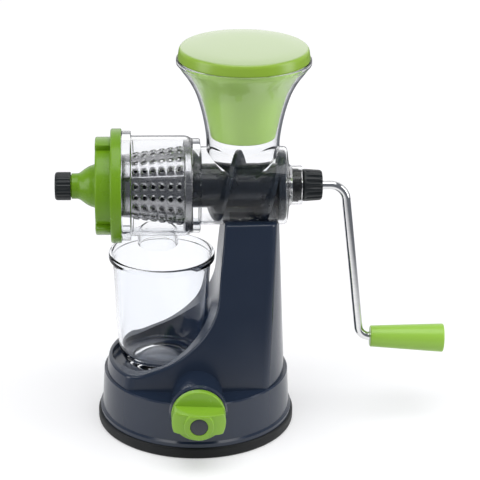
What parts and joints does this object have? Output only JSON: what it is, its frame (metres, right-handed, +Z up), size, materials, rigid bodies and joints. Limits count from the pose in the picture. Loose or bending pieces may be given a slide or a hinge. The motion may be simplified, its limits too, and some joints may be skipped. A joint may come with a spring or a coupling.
{
  "type": "manual fruit and vegetable juicer",
  "caption": "Hand cranked juicer: an auger in a clear barrel presses food through a cone strainer into a jar, on a suction base with a lock knob.",
  "frame": {"origin": "centre of the resting face of the suction pad", "axes": "+X along the barrel towards the crank, -Y towards the user and the lock knob, +Z up"},
  "size_m": [0.307, 0.1839, 0.3091],
  "materials": {
    "slate_plastic": "glossy moulded",
    "black_plastic": "satin moulded",
    "dark_knob": "satin moulded",
    "green_plastic": "glossy moulded",
    "clear_plastic": "clear, polished",
    "rubber": "matt",
    "stainless": "satin sheet",
    "steel_rod": "polished",
    "steel_screw": "plated"
  },
  "bodies": {
    "base": {"base_housing": "slate_plastic", "base_plate": "black_plastic", "base_screws": "steel_screw", "suction_pad": "rubber", "juicing_chamber": "clear_plastic", "foot_screws": "steel_screw", "shaft_seal": "rubber", "strainer": "stainless"},
    "pad_stem": {"pad_stem": "black_plastic"},
    "lock_knob": {"lock_cam": "black_plastic", "lock_knob": "green_plastic", "knob_screw": "steel_screw", "knob_button": "slate_plastic"},
    "auger": {"auger": "black_plastic", "auger_shaft": "steel_rod", "crank_hub": "dark_knob", "crank_rod": "steel_rod", "grip_screw": "steel_screw"},
    "grip": {"grip": "green_plastic", "grip_plug": "green_plastic"},
    "front_cover": {"front_cover": "green_plastic", "cover_seal": "rubber"},
    "cap_travel": {"cap_liner": "rubber"},
    "pulp_cap": {"pulp_cap": "dark_knob"},
    "pusher": {"pusher_body": "green_plastic", "pusher_top": "green_plastic"},
    "jar": {"jar": "clear_plastic"}
  },
  "joints": [
    {"name": "crank_turn", "type": "hinge", "parent": "base", "child": "auger", "pos_m": [0, 0, 0.1968], "axis": [1, 0, 0], "continuous": true},
    {"name": "grip_spin", "type": "hinge", "parent": "auger", "child": "grip", "pos_m": [0.16823, 0, 0.06665], "axis": [0.9994, 0, -0.0356], "continuous": true},
    {"name": "lock_turn", "type": "hinge", "parent": "base", "child": "lock_knob", "pos_m": [0, -0.09, 0.0416], "axis": [0, 1, 0], "range_deg": [0, 90]},
    {"name": "stem_lift", "type": "slide", "parent": "base", "child": "pad_stem", "axis": [0, 0, 1], "range_m": [0, 0.0057]},
    {"name": "cover_twist", "type": "hinge", "parent": "base", "child": "front_cover", "pos_m": [-0.062, 0, 0.1968], "axis": [1, 0, 0], "range_deg": [-35, 0]},
    {"name": "cap_advance", "type": "slide", "parent": "front_cover", "child": "cap_travel", "axis": [-1, 0, 0], "range_m": [0, 0.006]},
    {"name": "cap_turn", "type": "hinge", "parent": "cap_travel", "child": "pulp_cap", "pos_m": [-0.103, 0, 0.1968], "axis": [-1, 0, 0], "range_deg": [0, 720]},
    {"name": "pusher_slide", "type": "slide", "parent": "base", "child": "pusher", "axis": [0, 0, 1], "range_m": [0, 0.12]},
    {"name": "jar_lift", "type": "slide", "parent": "base", "child": "jar", "axis": [0, 0, 1], "range_m": [0, 0.006]}
  ],
  "couplings": [
    {"joint": "stem_lift", "follows": "lock_turn", "m_per_rad": 0.0036287},
    {"joint": "cap_turn", "follows": "cap_advance", "rad_per_m": 2094.4}
  ]
}
